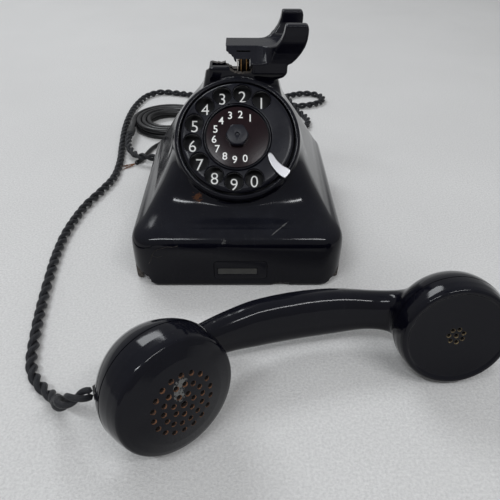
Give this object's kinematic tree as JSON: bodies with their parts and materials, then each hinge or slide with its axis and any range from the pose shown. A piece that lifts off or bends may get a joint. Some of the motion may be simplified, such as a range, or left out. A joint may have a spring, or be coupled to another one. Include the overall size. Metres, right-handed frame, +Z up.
{
  "type": "rotary telephone",
  "caption": "Rotary desk telephone in black bakelite: finger dial, sprung cradle, ringer inside, and a handset on a twisted cord that lies off the hook.",
  "frame": {"origin": "centre of the footprint of telephone and handset together, cords left out, on the surface they stand on", "axes": "+Z up, the dial faces -Y, +X to the right of someone who dials"},
  "size_m": [0.3057, 0.5668, 0.1665],
  "materials": {
    "bakelite": "polished black thermoset, worn and slightly dusty",
    "enamel": "black gloss enamel with white numerals",
    "dial_card": "dark maroon card with small white numerals",
    "steel": "plain machined steel",
    "zinc_plate": "zinc plated sheet",
    "chrome": "bright plated",
    "brass": "tarnished brass",
    "gong_steel": "turned and nickel plated",
    "rubber": "matt black rubber",
    "winding": "varnished tape over copper wire",
    "phenolic": "brown laminated board",
    "paper": "aged paper",
    "capsule_aluminium": "spun aluminium",
    "cord_twist": "braided black textile, twisted strands",
    "cord_sheath": "smooth black sheath"
  },
  "bodies": {
    "telephone": {"base_plate": "zinc_plate", "base_screw_1": "steel", "base_screw_2": "steel", "base_screw_3": "steel", "base_screw_4": "steel", "capacitor": "zinc_plate", "case_shell": "bakelite", "dial_bezel": "bakelite", "dial_cup": "zinc_plate", "finger_stop": "chrome", "foot_1": "rubber", "foot_2": "rubber", "foot_3": "rubber", "foot_4": "rubber", "gong_left": "gong_steel", "gong_post_left": "steel", "gong_post_right": "steel", "gong_right": "gong_steel", "handset_cord": "cord_twist", "handset_cord_grommet": "rubber", "hook_block": "phenolic", "hook_frame": "zinc_plate", "hook_leaf_1": "brass", "hook_leaf_2": "brass", "hook_leaf_3": "brass", "induction_core": "steel", "induction_winding": "winding", "label_holder": "bakelite", "label_strip": "paper", "line_cord": "cord_twist", "line_cord_coil": "cord_sheath", "line_cord_grommet": "rubber", "line_cord_tail": "cord_sheath", "number_plate": "enamel", "pulse_block": "phenolic", "pulse_leaf": "brass", "return_spring": "steel", "ringer_coil_left": "winding", "ringer_coil_right": "winding", "ringer_yoke": "steel", "terminal_block": "phenolic"},
    "dial": {"finger_wheel": "bakelite", "centre_card": "dial_card", "card_ring": "bakelite", "centre_nut": "bakelite", "dial_shaft": "steel", "drive_gear": "brass", "pulse_cam": "phenolic"},
    "governor": {"governor_worm": "brass"},
    "cradle": {"cradle_fork": "bakelite", "hook_plunger": "steel", "hook_spring": "steel"},
    "striker": {"clapper": "steel"},
    "handset": {"handset_handle": "bakelite", "mouthpiece_cap": "bakelite", "earpiece_cap": "bakelite", "handset_gland": "rubber", "microphone_capsule": "capsule_aluminium", "receiver_capsule": "capsule_aluminium"}
  },
  "joints": [
    {"name": "dial_turn", "type": "hinge", "parent": "telephone", "child": "dial", "pos_m": [-0.04159, 0.03522, 0.0967], "axis": [0, 0.7513, -0.66], "range_deg": [0, 326], "stiffness_Nm_per_rad": 0.006, "springref_deg": -68.75},
    {"name": "governor_spin", "type": "hinge", "parent": "telephone", "child": "governor", "pos_m": [-0.04159, 0.03312, 0.07006], "axis": [1, 0, 0], "range_deg": [0, 3260]},
    {"name": "cradle_press", "type": "slide", "parent": "telephone", "child": "cradle", "axis": [0, 0, -1], "range_m": [0, 0.0025], "stiffness_N_per_m": 400, "springref_m": -0.004, "deforming": ["hook_spring"]},
    {"name": "clapper_swing", "type": "hinge", "parent": "telephone", "child": "striker", "pos_m": [-0.04159, 0.08422, 0.018], "axis": [0, 0, 1], "range_deg": [-5.5, 5.5]},
    {"name": "handset_lift", "type": "slide", "parent": "telephone", "child": "handset", "axis": [0, 0, 1], "range_m": [0, 0.15]}
  ],
  "couplings": [
    {"joint": "governor_spin", "follows": "dial_turn", "ratio": 10}
  ]
}
